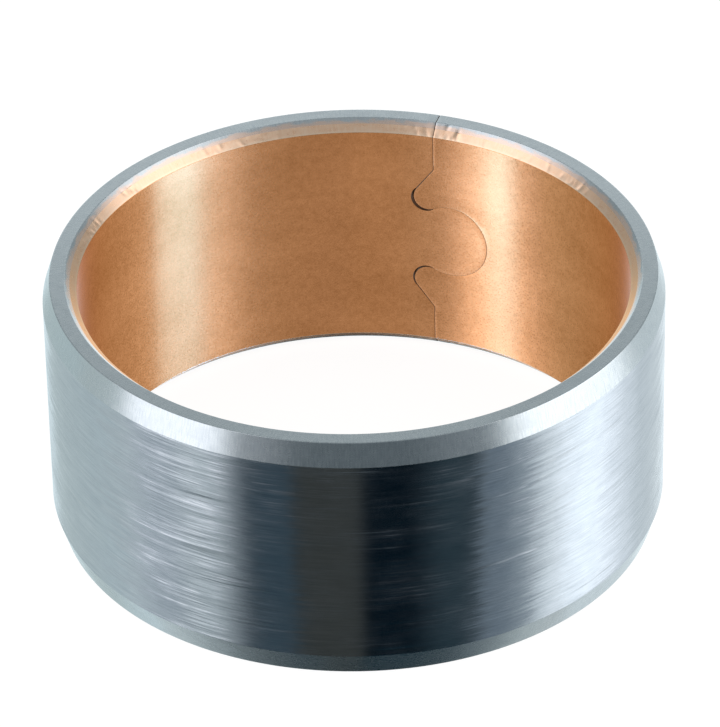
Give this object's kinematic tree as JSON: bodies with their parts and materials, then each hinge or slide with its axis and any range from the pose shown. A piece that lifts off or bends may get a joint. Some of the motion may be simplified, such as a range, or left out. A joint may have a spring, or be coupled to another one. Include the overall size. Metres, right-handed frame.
{
  "type": "sleeve bushing",
  "caption": "Steel-backed sleeve bushing with a bronze bore, rolled from clad strip and locked by an interlocking clinched seam, with chamfered ends.",
  "frame": {"origin": "on the bore's axis, in the lower end face", "axes": "+Z along the bore's axis, +Y from the axis towards the seam, +X the way the seam's tab points"},
  "size_m": [0.045, 0.045, 0.0198],
  "materials": {
    "steel": "ground on the outside with fine circumferential lines, turned on the ends and chamfers",
    "bronze": "satin copper-coloured bearing bronze, fine bored"
  },
  "bodies": {
    "root": {"steel_backing": "steel", "bronze_lining": "bronze"}
  },
  "joints": []
}
